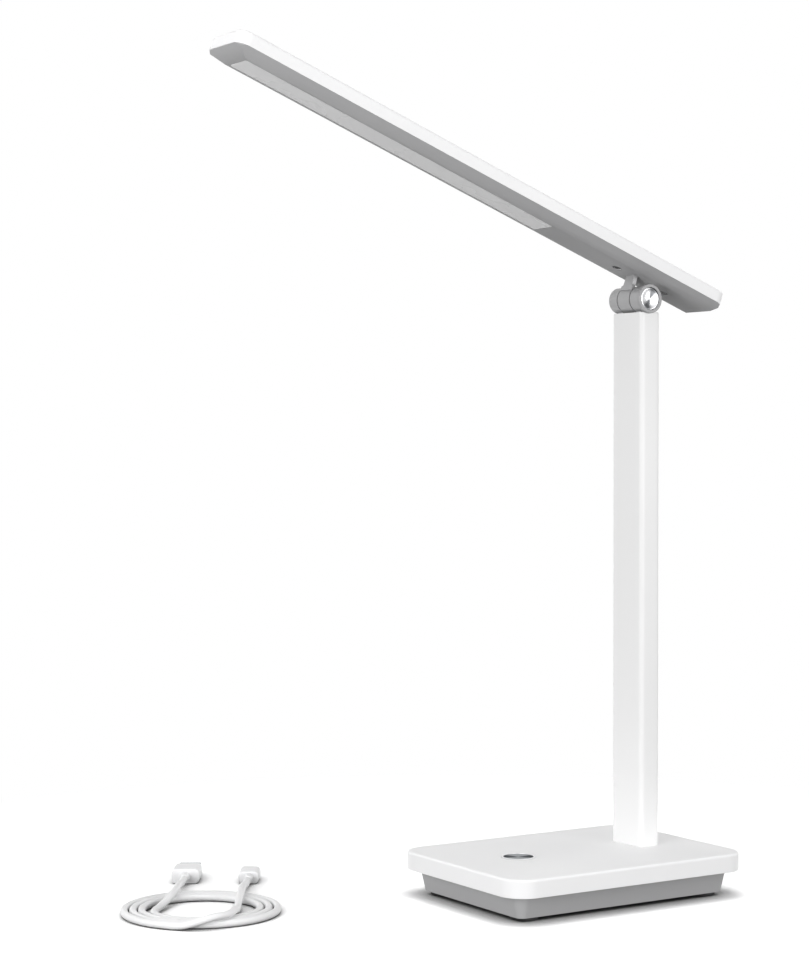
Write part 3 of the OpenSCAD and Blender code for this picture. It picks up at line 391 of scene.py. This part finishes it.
# Stainless sheet, cold-rolled: a silky surface with faint strokes along the plug.
shell_steel = metal("stainless_sheet_rolled", SHEET_HEX, 0.26, 0.5, (1, 1, 6))
gold = metal("gold_plate_on_bronze", GOLD_HEX, 0.22, 0.4)
carrier_white = moulded("PBT_contact_carrier_white", "#EDEDEB", "#E6E6E4", 0.45, 0.6, 0.02)
for node in ("usb_a_shell", "usb_c_shell"):
    coat(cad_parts[node], shell_steel)
coat(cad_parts["usb_a_tongue"], carrier_white)

plug_turn = (0, 0, CABLE_TURN)
a_mouth = PLUG_Y + RELIEF_L + GRIP_A[1] + SHELL_A_L
places = [(-PLUG_X + x, a_mouth - CONTACT_A_BACK, GRIP_A[2] / 2) for x in CONTACT_A_X]
seats = [(CABLE_PLACE @ (Vector(place) * MM), plug_turn) for place in places]
contacts_a = repeated("contacts_large_plug", "contact_row_large", seats, contact_strip,
                      contact_sizes(CONTACT_A), gold)
c_mouth = PLUG_Y + RELIEF_L + GRIP_C[1] + SHELL_C_L
places = [(PLUG_X + (i - (CONTACT_C_COUNT - 1) / 2) * CONTACT_C_PITCH, c_mouth - CONTACT_C_BACK,
           GRIP_C[2] / 2 + side * CONTACT_C_LEVEL) for i in range(CONTACT_C_COUNT) for side in (-1, 1)]
seats = [(CABLE_PLACE @ (Vector(place) * MM), plug_turn) for place in places]
contacts_c = repeated("contacts_small_plug", "contact_row_small", seats, contact_strip,
                      contact_sizes(CONTACT_C), gold)
for contacts in (contacts_a, contacts_c):
    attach(contacts, "root")

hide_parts("cable_coil", "cable_lead_a", "cable_lead_c")
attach(cable, "root")

# Rubber feet: four black silicone pads pressed into round seats under the tray, hiding the case screws.
# Each is a low puck with a soft rim and a hollow in its face. The base's middle lies behind the origin.
BASE_Y = 58.6158
FOOT_X, FOOT_Y, FOOT_R, FOOT_H = 35.85, 57.1, 7.2, 2.7
FOOT_RIM_W, FOOT_RIM_EDGE, FOOT_HOLLOW = 2.2, 0.5, 0.6


def foot_puck(tree, given):
    """A puck: a rounded ring, and inside it a disc that stops short of the table."""
    path = add(tree, "GeometryNodeCurvePrimitiveCircle", {"Resolution": 64, "Radius": given["Ring Radius"]})
    section = add(tree, "GeometryNodeCurvePrimitiveQuadrilateral", {"Width": given["Ring Width"],
                  "Height": given["Height"]})
    soft = add(tree, "GeometryNodeFilletCurve", {"Curve": section.outputs[0], "Count": 4,
               "Radius": given["Edge"]}, mode="POLY")
    ring = add(tree, "GeometryNodeCurveToMesh", {"Curve": path.outputs[0], "Profile Curve": soft.outputs[0]})
    disc = add(tree, "GeometryNodeMeshCylinder", {"Vertices": 64, "Radius": given["Ring Radius"],
               "Depth": given["Disc Height"]})
    both = add(tree, "GeometryNodeJoinGeometry", {0: ring.outputs[0]})
    tree.links.new(disc.outputs["Mesh"], both.inputs[0])
    return both.outputs[0]


# Silicone rubber: dull black, with the fine bloom that handling leaves on it.
foot_rubber = moulded("silicone_rubber_black", "#1A1A1B", "#242425", 0.72, 0.5, 0.04, cloud_mm=9)
seats = [(Vector((sx * FOOT_X, BASE_Y + sy * FOOT_Y, FOOT_H / 2)) * MM, (0, 0, 0))
         for sx in (-1, 1) for sy in (-1, 1)]
feet = repeated("feet", "foot_pucks", seats, foot_puck,
                {"Ring Radius": (FOOT_R - FOOT_RIM_W / 2) * MM, "Ring Width": FOOT_RIM_W * MM,
                 "Height": FOOT_H * MM, "Disc Height": (FOOT_H - FOOT_HOLLOW) * MM,
                 "Edge": FOOT_RIM_EDGE * MM}, foot_rubber)
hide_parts("rubber_feet")
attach(feet, "root")

# Base tray: grey ABS moulding, satin outside, that stands in under the cover and tapers to its floor.
# Its flange closes the cover, and bosses, board pillars and the post's pads rise from its floor.
WELD, FLAT_BELOW, ROUND_ABOVE, SHARP_ABOVE = 2e-6, math.radians(0.4), math.radians(32), math.radians(38)


def softened(node, name, edge_mm, material, body):
    """The node's moulding with its hard edges rounded off, as a mould or a deburring wheel leaves them."""
    raw = bmesh.new()
    raw.from_mesh(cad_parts[node].data)
    bmesh.ops.remove_doubles(raw, verts=raw.verts, dist=WELD)
    bmesh.ops.dissolve_limit(raw, angle_limit=FLAT_BELOW, verts=raw.verts, edges=raw.edges)
    cast = bpy.data.meshes.new(name)
    raw.to_mesh(cast)
    raw.free()
    made = bpy.data.objects.new(name, cast)
    scene.collection.objects.link(made)
    cut = made.modifiers.new("soft_edges", "BEVEL")
    cut.width, cut.segments, cut.limit_method = edge_mm * MM, 3, "ANGLE"
    cut.angle_limit, cut.miter_outer, cut.use_clamp_overlap = ROUND_ABOVE, "MITER_ARC", True
    deps = bpy.context.evaluated_depsgraph_get()
    plain = bpy.data.meshes.new_from_object(made.evaluated_get(deps))
    made.modifiers.clear()
    made.data = plain
    low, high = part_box(node)
    for corner in plain.vertices:
        corner.co = [min(max(c, a), b) for c, a, b in zip(corner.co, low, high)]
    plain.name = name
    plain.shade_smooth()
    plain.set_sharp_from_angle(angle=SHARP_ABOVE)
    made.modifiers.new("even_shading", "WEIGHTED_NORMAL").keep_sharp = True
    coat(made, material)
    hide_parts(node)
    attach(made, body)


# ABS from a spark-eroded mould: satin, with a grain real at 0.1 mm, drawn at 0.7 mm so that it shows at all.
abs_grey = moulded("ABS_spark_eroded_grey", "#B4B4B5", "#AFAFB0", 0.52, 0.7, 0.03, cloud_mm=60,
                   Specular_IOR_Level=0.2)
softened("base_tray", "tray", 0.3, abs_grey, "root")

# Inside the base: ballast plate, two pouch cells on foam, and the circuit board with its parts and screws.
# They are shut in, so each is the plain part in its own finish.
MILD_STEEL_HEX, ZINC_HEX, FOIL_HEX = "#7E8083", "#B9BCBF", "#C4C6C9"
mild_steel = metal("mild_steel_plate_rolled", MILD_STEEL_HEX, 0.48, 2.0, (1, 8, 8), 0.02)
zinc_steel = metal("zinc_plated_steel", ZINC_HEX, 0.34, 0.6)
pouch_foil = metal("aluminium_laminate_foil", FOIL_HEX, 0.38, 5.0, depth_mm=0.25)
foam = moulded("adhesive_foam_grey", "#3A3A3C", "#303032", 0.9, 0.8, 0.2)
fibre_board = moulded("glass_fibre_board_green", "#1E5B3C", "#256B47", 0.35, 1.4, 0.02, cloud_mm=3)
moulded_black = moulded("epoxy_moulding_black", "#1C1C1D", "#232324", 0.5, 0.4, 0.02)
inner_white = moulded("acetal_plunger_white", "#E2E2E0", "#DCDCDA", 0.4, 0.5, 0.01)
for material, nodes in ((mild_steel, ("ballast_plate", "post_foot")), (pouch_foil, ("battery_cells",)),
                        (foam, ("battery_pad",)), (fibre_board, ("main_board", "inlet_board")),
                        (moulded_black, ("board_parts", "button_switch")), (inner_white, ("switch_plunger",)),
                        (zinc_steel, ("board_screws", "case_screws", "foot_screws", "post_screws"))):
    for node in nodes:
        coat(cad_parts[node], material)

# Charging socket: a drawn steel shell round a contact tongue, soldered to a small board of its own.
# Its mouth stands in an opening of the tray's back wall, where the small plug goes in.
socket_steel = metal("stainless_socket_shell", SHEET_HEX, 0.24, 0.5, (1, 5, 1))
coat(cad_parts["usb_c_inlet"], socket_steel)

# Base cover: white ABS moulding with a satin top, soft corners and a plain side band over the tray's edge.
# The post and the button come up through close holes in it.
abs_white = moulded("ABS_satin_white", "#F7F7F7", "#F4F4F5", 0.36, 0.8, 0.02, cloud_mm=70)
softened("base_cover", "base_top", 0.3, abs_white, "root")

# Push button: a turned aluminium key with a shallow dish, lying in a thin bright ring let into the cover.
# Its face shows the lathe's fine grooves, real at 0.05 mm and drawn at 0.35 mm.
BUTTON_X, BUTTON_Y = 0.0, BASE_Y - 35.1
BUTTON_D, BUTTON_TOP, COVER_TOP = 15.2, 23.3, 23.0
FLANGE_W, FLANGE_T, KEY_EDGE, KEY_DISH = 1.4, 1.0, 0.35, 0.25
RING_INSIDE, RING_OUTSIDE, RING_PROUD = 0.2, 1.1, 0.35
GROOVE_MM = 0.35
LATHE_CRISP_ABOVE = math.radians(30)


def turned(name, profile, place, steps=96):
    """A body turned on a lathe: profile is (radius, height) pairs in millimetres, from axis to axis."""
    rings = [[place @ (Vector((r * math.cos(a), r * math.sin(a), h)) * MM)
              for a in (2 * math.pi * k / steps for k in range(steps))] for r, h in profile]
    return piece_from(name, *loft(rings), smooth=LATHE_CRISP_ABOVE)


def turned_metal(name, centre, axis, roughness, groove_mm, painted_fan_hexes, painted_fan_turn, anisotropic, rim_hex):
    """Metal faced on a lathe: rings round the axis, and a painted reflection, a fan of light and dark sectors
    in its colour.
    """
    made, tree, skin = shade(name, {"Metallic": 1.0, "Anisotropic": anisotropic,
                                    "Specular Tint": linear(rim_hex)})
    place = add(tree, "ShaderNodeTexCoord").outputs["Object"]
    turn = (0, math.radians(-90), 0) if axis == "X" else (0, 0, 0)
    middle = add(tree, "ShaderNodeVectorMath", {0: place, 1: centre}, operation="SUBTRACT")
    facing = add(tree, "ShaderNodeVectorRotate", {"Vector": middle.outputs[0], "Rotation": turn},
                 rotation_type="EULER_XYZ")
    across = add(tree, "ShaderNodeSeparateXYZ", {0: facing.outputs[0]})
    angle = add(tree, "ShaderNodeMath", {0: across.outputs[1], 1: across.outputs[0]}, operation="ARCTAN2")
    flat_part = add(tree, "ShaderNodeCombineXYZ", {0: across.outputs[0], 1: across.outputs[1], 2: 0.0})
    radius = add(tree, "ShaderNodeVectorMath", {0: flat_part.outputs[0]}, operation="LENGTH")
    # Painted reflection: the colour turns dark and light in a fan of sectors round the axis.
    fan = add(tree, "ShaderNodeMath", {0: angle.outputs[0], 1: 2.0, 2: math.radians(-2 * painted_fan_turn)},
              operation="MULTIPLY_ADD")
    wave = add(tree, "ShaderNodeMath", {0: fan.outputs[0]}, operation="COSINE")
    share = add(tree, "ShaderNodeMapRange", {"Value": wave.outputs[0], "From Min": -0.9, "From Max": 0.1})
    tint = add(tree, "ShaderNodeMix", {0: share.outputs[0], 6: linear(painted_fan_hexes[0]), 7: linear(painted_fan_hexes[1])},
               data_type="RGBA")
    hone = add(tree, "ShaderNodeMath", {0: radius.outputs["Value"], 1: 2 * math.pi / (groove_mm * MM)},
               operation="MULTIPLY")
    groove = add(tree, "ShaderNodeMath", {0: hone.outputs[0]}, operation="SINE")
    relief = add(tree, "ShaderNodeBump", {"Height": groove.outputs[0], "Strength": 0.35,
                 "Distance": 0.01 * MM})
    rough = add(tree, "ShaderNodeMapRange", {"Value": groove.outputs[0], "From Min": -1.0, "From Max": 1.0,
                "To Min": roughness - 0.05, "To Max": roughness + 0.05})
    tangent = add(tree, "ShaderNodeTangent", direction_type="RADIAL", axis=axis)
    for socket, source in (("Base Color", tint.outputs[2]), ("Roughness", rough.outputs[0]),
                           ("Normal", relief.outputs[0]), ("Tangent", tangent.outputs[0])):
        tree.links.new(source, skin.inputs[socket])
    return made


button_place = Matrix.Translation(Vector((BUTTON_X, BUTTON_Y, 0)) * MM)
button_r = BUTTON_D / 2
button_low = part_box("button_cap")[0].z / MM
button = turned("button_key", [
    (0, button_low), (button_r + FLANGE_W, button_low), (button_r + FLANGE_W, button_low + FLANGE_T),
    (button_r, button_low + FLANGE_T), (button_r, BUTTON_TOP - KEY_EDGE),
    (button_r - 0.12, BUTTON_TOP - 0.12), (button_r - KEY_EDGE, BUTTON_TOP), (button_r - 1.0, BUTTON_TOP),
    (button_r - 1.5, BUTTON_TOP - 0.06), (button_r * 0.55, BUTTON_TOP - 0.18),
    (button_r * 0.2, BUTTON_TOP - KEY_DISH), (0, BUTTON_TOP - KEY_DISH)], button_place)
ring_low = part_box("button_ring")[0].z / MM
ring_in, ring_out = button_r + RING_INSIDE, button_r + RING_OUTSIDE
ring = turned("button_bezel", [
    (ring_in, ring_low), (ring_out, ring_low), (ring_out, COVER_TOP + 0.12),
    (ring_out - 0.1, COVER_TOP + 0.29), (ring_out - 0.3, COVER_TOP + RING_PROUD),
    (ring_in + 0.12, COVER_TOP + RING_PROUD), (ring_in, COVER_TOP + 0.25), (ring_in, ring_low)], button_place)
button_centre = (BUTTON_X * MM, BUTTON_Y * MM, 0.0)
# Painted reflection: the key's colour goes dark and light in a fan of sectors round its middle.
key_metal = turned_metal("aluminium_lathe_faced_with_painted_reflection", button_centre, "Z", 0.30, GROOVE_MM,
                         painted_fan_hexes=("#404245", "#C2C4C6"), painted_fan_turn=147.0, anisotropic=0.7, rim_hex="#B0B2B4")
ring_metal = metal("aluminium_diamond_cut", "#E6E7E8", 0.16, 0.4)
coat(button, key_metal)
coat(ring, ring_metal)
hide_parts("button_cap")
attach(button, "button")
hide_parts("button_ring")
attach(ring, "root")

# Post: a rectangular aluminium tube with round corners, powder-coated white, on a bracket in the base.
# Powder coat levels out to a faint orange peel of about 1.5 mm.
powder_white = moulded("powder_coat_on_aluminium_white", "#F0F0F0", "#ECECEC", 0.40, 1.6, 0.05, cloud_mm=90,
                       Coat_Weight=0.15, Coat_Roughness=0.3)
softened("post", "post_tube", 0.3, powder_white, "root")

# Hinge: a fork of two outer knuckles in the post's end, and the head's middle knuckle between them, both zinc
# castings painted silver grey. A bolt with spring washers draws them together, so that the head stays put.
cast_paint = moulded("silver_grey_paint_on_zinc", "#A7A7A8", "#A2A2A3", 0.36, 0.5, 0.015, cloud_mm=20,
                     Metallic=0.15, Coat_Weight=0.2, Coat_Roughness=0.25)
softened("hinge_saddle", "hinge_fork", 0.22, cast_paint, "root")
softened("hinge_knuckle", "hinge_neck", 0.22, cast_paint, "head")
softened("hinge_cap", "hinge_end_cap", 0.12, cast_paint, "root")
bezel_grey = moulded("ABS_satin_light_grey", "#A0A0A1", "#9B9B9C", 0.34, 0.5, 0.01, cloud_mm=20)
softened("hinge_bezel", "hinge_bezel_ring", 0.12, bezel_grey, "root")
for node in ("friction_washers", "hinge_bolt", "spring_washers", "hinge_nut"):
    coat(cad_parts[node], zinc_steel)

# Hinge disc: a plain disc of turned and plated steel, glued into the bezel over the nut.
# Facing it from the middle leaves rings; the fan of bright and dark on it is a painted reflection in its
# colour.
disc_low, disc_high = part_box("hinge_disc")
disc_r = (disc_high.z - disc_low.z) / 2 / MM
disc_t = (disc_high.x - disc_low.x) / MM
disc_middle = (disc_low + disc_high) / 2
disc_place = (Matrix.Translation((disc_low.x, disc_middle.y, disc_middle.z))
              @ Matrix.Rotation(math.radians(90), 4, "Y"))
disc = turned("hinge_disc_face", [
    (0, 0), (disc_r, 0), (disc_r, disc_t - 0.3), (disc_r - 0.12, disc_t - 0.08), (disc_r - 0.35, disc_t),
    (disc_r - 0.8, disc_t), (disc_r - 1.0, disc_t - 0.09), (disc_r * 0.5, disc_t - 0.2),
    (disc_r * 0.15, disc_t - 0.27), (0, disc_t - 0.28)], disc_place)
disc_metal = turned_metal("plated_steel_lathe_faced_with_painted_reflection", tuple(disc_middle), "X", 0.26, 0.4,
                          painted_fan_hexes=("#58595B", "#D2D2D4"), painted_fan_turn=63.0, anisotropic=0.5, rim_hex="#E4E4E4")
coat(disc, disc_metal)
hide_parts("hinge_disc")
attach(disc, "root")

# Head shell: grey ABS tray of the light bar, with sloping sides, a long slope at the tip and a window for the
# panel. The neck plate of the hinge is screwed to its floor from outside.
softened("head_shell", "bar_underside", 0.3, abs_grey, "head")

# Screws that show: two black-oxide screws, sunk a little under the bar, hold the neck plate, and one that is
# zinc-plated, behind the post's upper end, holds the fork. Each has a low pan head with a cross recess.


def cross_head(tree, given):
    """A pan head on its shank: the head stands up along +Z from its seat at the origin."""
    body = add(tree, "GeometryNodeMeshCone", {"Vertices": 48, "Side Segments": 1,
               "Radius Top": given["Top Radius"], "Radius Bottom": given["Radius"], "Depth": given["Height"]})
    above = add(tree, "ShaderNodeMath", {0: given["Height"], 1: 0.5, 2: given["Recess Floor"]},
                operation="MULTIPLY_ADD")
    lift = add(tree, "ShaderNodeCombineXYZ", {0: 0.0, 1: 0.0, 2: above.outputs[0]})
    recessed = body.outputs["Mesh"]
    for x, y in (("Slot Length", "Slot Width"), ("Slot Width", "Slot Length")):
        size = add(tree, "ShaderNodeCombineXYZ", {0: given[x], 1: given[y], 2: given["Height"]})
        bar = add(tree, "GeometryNodeMeshCube", {"Size": size.outputs[0]})
        cutter = add(tree, "GeometryNodeTransform", {"Geometry": bar.outputs["Mesh"],
                     "Translation": lift.outputs[0]})
        cut = add(tree, "GeometryNodeMeshBoolean", {"Mesh 1": recessed, "Mesh 2": cutter.outputs[0]},
                  operation="DIFFERENCE", solver="EXACT")
        recessed = cut.outputs["Mesh"]
    under = add(tree, "ShaderNodeMath", {0: given["Shank Length"], 1: -0.5}, operation="MULTIPLY")
    down = add(tree, "ShaderNodeCombineXYZ", {0: 0.0, 1: 0.0, 2: under.outputs[0]})
    rod = add(tree, "GeometryNodeMeshCylinder", {"Vertices": 32, "Radius": given["Shank Radius"],
              "Depth": given["Shank Length"]})
    shank = add(tree, "GeometryNodeTransform", {"Geometry": rod.outputs["Mesh"],
                "Translation": down.outputs[0]})
    both = add(tree, "GeometryNodeJoinGeometry", {0: recessed})
    tree.links.new(shank.outputs[0], both.inputs[0])
    return both.outputs[0]


HEAD_TILT = math.radians(-21.1)
AXIS_Y, AXIS_Z = BASE_Y + 39.8, 313.4
SCREW_FRONT, SCREW_REAR, SCREW_SEAT_N = 16.5, -17.4, 12.4
screw_black = metal("steel_black_oxide", "#2B2B2D", 0.38, 0.4)


def on_head(along, across, square):
    """A point on the bar: millimetres from the hinge axis toward the tip, across the bar and square to it."""
    tilt = Matrix.Rotation(HEAD_TILT, 4, "X")
    return Matrix.Translation((0, AXIS_Y * MM, AXIS_Z * MM)) @ tilt @ (Vector((across, -along, square)) * MM)


neck_seats = [(on_head(s, 0.0, SCREW_SEAT_N), (math.pi + HEAD_TILT, 0, 0)) for s in (SCREW_FRONT, SCREW_REAR)]
neck_pair = repeated("neck_screw_pair", "cross_recess_small", neck_seats, cross_head,
                     {"Radius": 2.3 * MM, "Top Radius": 1.9 * MM, "Height": 0.8 * MM, "Slot Length": 2.2 * MM,
                      "Slot Width": 0.55 * MM, "Recess Floor": 0.25 * MM, "Shank Radius": 1.3 * MM,
                      "Shank Length": 5.0 * MM}, screw_black)
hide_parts("neck_screws")
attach(neck_pair, "head")

low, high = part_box("saddle_screw")
head_h, head_r = 1.8 * MM, (high.x - low.x) / 2
fork_seat = [((0.0, high.y - head_h, (low.z + high.z) / 2), (math.radians(-90), 0, 0))]
fork_screw = repeated("fork_screw", "cross_recess_large", fork_seat, cross_head,
                      {"Radius": head_r, "Top Radius": head_r * 0.78, "Height": head_h,
                       "Slot Length": 3.0 * MM, "Slot Width": 0.7 * MM, "Recess Floor": 0.7 * MM,
                       "Shank Radius": 1.5 * MM, "Shank Length": high.y - head_h - low.y}, zinc_steel)
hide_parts("saddle_screw")
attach(fork_screw, "root")

# Light bar inside: the light board, its chips under drops of phosphor gel, and a spreader of plain sheet that
# takes its heat. Screws hang them from the cover's roof, and a wire runs in from the neck.
board_mask = metal("aluminium_board_white_mask", "#E9E9E4", 0.5, 1.2, Metallic=0.1)
phosphor = moulded("phosphor_lens_yellow", "#EFD980", "#E8CF74", 0.3, 0.3, 0.02, cloud_mm=2)
sheet_aluminium = metal("aluminium_sheet_mill_finish", "#B4B6B8", 0.36, 0.8, (1, 6, 6))
for node, material in (("led_board", board_mask), ("led_chips", phosphor), ("led_screws", zinc_steel),
                       ("heat_spreader", sheet_aluminium), ("post_wire", moulded_black),
                       ("head_wire", moulded_black)):
    coat(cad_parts[node], material)

# Light panel: a milky acrylic strip, flush with the underside in the shell's window.
# A flange round its inner face rests on the shell's floor and holds it.
acrylic = moulded("acrylic_opal_milky", "#EFEFEF", "#EAEAEB", 0.28, 0.6, 0.01, cloud_mm=50,
                  Subsurface_Weight=0.25, Subsurface_Scale=0.002, Subsurface_Radius=(1.0, 1.0, 1.0))
softened("diffuser", "light_panel", 0.25, acrylic, "head")

# Head cover: the white ABS top of the light bar, one long moulding with soft edges that closes on the shell.
# Round bosses under its roof take the screws of the light board.
softened("head_cover", "bar_top", 0.3, abs_white, "head")
